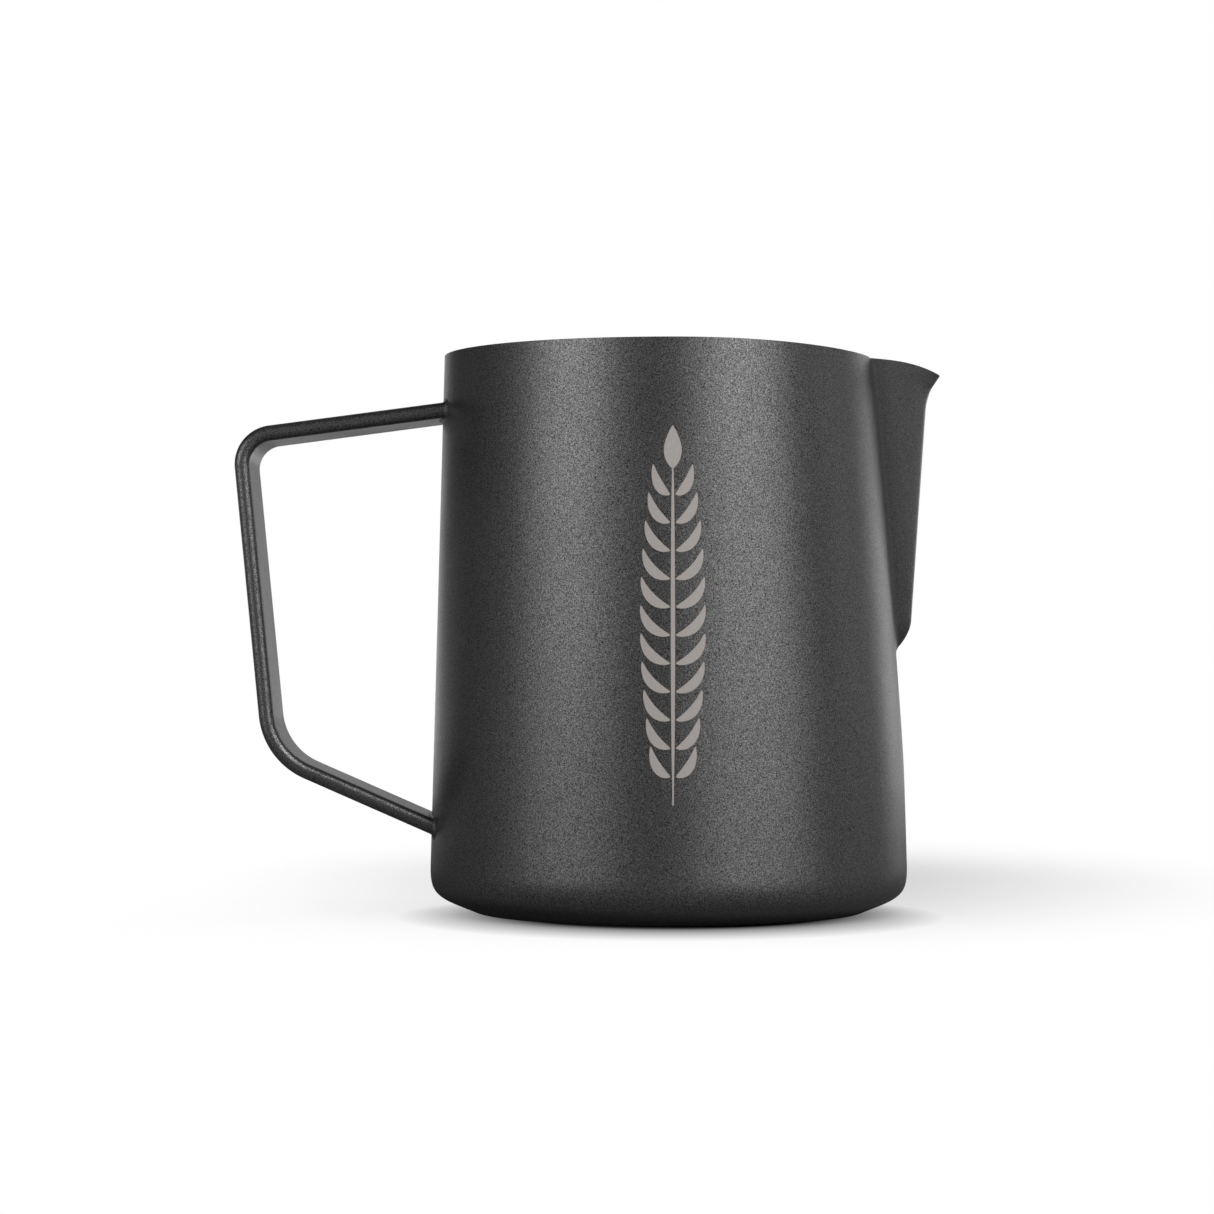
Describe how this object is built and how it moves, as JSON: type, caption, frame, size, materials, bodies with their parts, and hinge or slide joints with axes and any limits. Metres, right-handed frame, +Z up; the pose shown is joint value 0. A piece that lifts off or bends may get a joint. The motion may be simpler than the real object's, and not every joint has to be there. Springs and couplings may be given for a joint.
{
  "type": "milk frothing pitcher",
  "caption": "Tapered black-coated steel milk jug with a V-shaped beaked pouring spout and an angular bent-strap handle welded to its wall.",
  "frame": {"origin": "centre of the foot, on the plane that the pitcher stands on", "axes": "+X towards the spout, +Z up, so the handle lies along -X in the plane Y = 0"},
  "size_m": [0.1304, 0.0884, 0.103],
  "materials": {
    "cup_coating": "matte black non-stick coating with a fine speckle",
    "spout_coating": "matte black non-stick coating with a fine speckle",
    "handle_coating": "matte black powder coating with a fine speckle",
    "weld_coating": "matte black coating over dressed weld",
    "etched_mark": "laser-etched through the coating to dull warm-grey steel"
  },
  "bodies": {
    "root": {"cup_body": "cup_coating", "spout": "spout_coating", "spout_seam_weld": "weld_coating", "handle": "handle_coating", "handle_weld_upper": "weld_coating", "handle_weld_lower": "weld_coating"}
  },
  "joints": []
}
